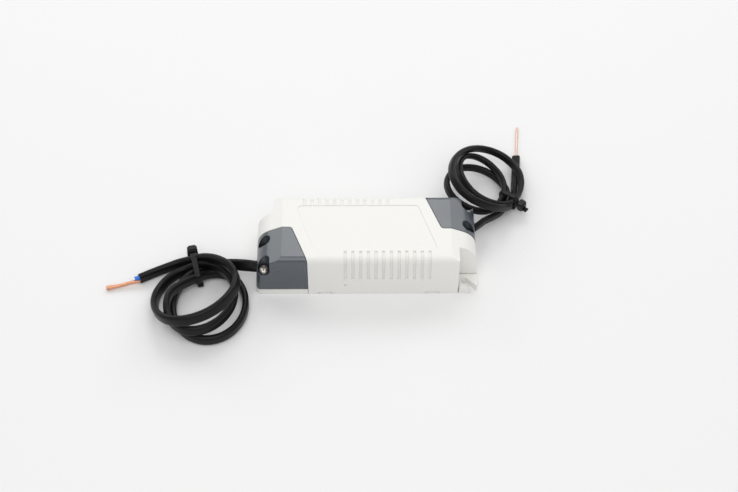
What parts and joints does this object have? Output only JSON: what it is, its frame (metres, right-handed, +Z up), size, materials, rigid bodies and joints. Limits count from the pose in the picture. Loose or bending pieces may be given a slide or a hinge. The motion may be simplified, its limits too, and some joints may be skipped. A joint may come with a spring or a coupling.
{
  "type": "led driver",
  "caption": "Slim independent LED driver in a white plastic case with grey screwed wiring covers, slotted corner ears and two tied flat leads, for feeding a lamp from the mains.",
  "frame": {"origin": "centre of the case's underside", "axes": "+X along the case from the mains lead to the lamp lead, +Y to the rear, +Z up"},
  "size_m": [0.2161, 0.1463, 0.0292],
  "materials": {
    "white_plastic": "fine satin moulded polycarbonate",
    "grey_plastic": "fine satin moulded polycarbonate",
    "screw_nickel": "nickel-plated steel",
    "black_plastic": "satin moulded nylon or epoxy",
    "lead_sheath": "soft satin cable sheath",
    "blue_insulation": "core insulation",
    "brown_insulation": "core insulation",
    "copper": "bare copper",
    "laminate": "solder-masked laminate",
    "green_plastic": "terminal block moulding",
    "ferrite": "pressed ferrite",
    "yellow_tape": "polyester winding tape",
    "yellow_film_capacitor": "moulded box",
    "blue_ceramic": "dipped coating",
    "red_ceramic": "dipped coating",
    "capacitor_sleeve": "shrunk sleeve",
    "aluminium": "plain sheet"
  },
  "bodies": {
    "root": {"base_tray": "white_plastic", "top_housing": "white_plastic", "input_cover": "grey_plastic", "output_cover": "grey_plastic", "input_cover_screw_inner": "screw_nickel", "input_cover_screw_outer": "screw_nickel", "output_cover_screw_inner": "screw_nickel", "output_cover_screw_outer": "screw_nickel", "circuit_board": "laminate", "input_terminal_block": "green_plastic", "output_terminal_block": "green_plastic", "fuse": "black_plastic", "varistor": "red_ceramic", "x_capacitor": "yellow_film_capacitor", "choke_core": "ferrite", "choke_winding_left": "copper", "choke_winding_right": "copper", "bridge_rectifier": "black_plastic", "bulk_capacitor": "capacitor_sleeve", "heat_sink": "aluminium", "switching_transistor": "black_plastic", "controller_chip": "black_plastic", "transformer_core": "ferrite", "transformer_bobbin": "yellow_tape", "optocoupler": "black_plastic", "y_capacitor": "blue_ceramic", "output_diode": "black_plastic", "output_capacitor_front": "capacitor_sleeve", "output_capacitor_rear": "capacitor_sleeve", "output_choke": "ferrite", "input_core_front": "blue_insulation", "input_core_rear": "brown_insulation", "output_core_front": "black_plastic", "output_core_rear": "black_plastic", "input_lead": "lead_sheath", "input_lead_coil": "lead_sheath", "input_lead_end": "lead_sheath", "input_blue_core": "blue_insulation", "input_bare_wire": "copper", "input_cable_tie": "black_plastic", "output_lead": "lead_sheath", "output_lead_coil": "lead_sheath", "output_lead_end": "lead_sheath", "output_bare_wire": "copper", "output_cable_tie": "black_plastic"}
  },
  "joints": []
}
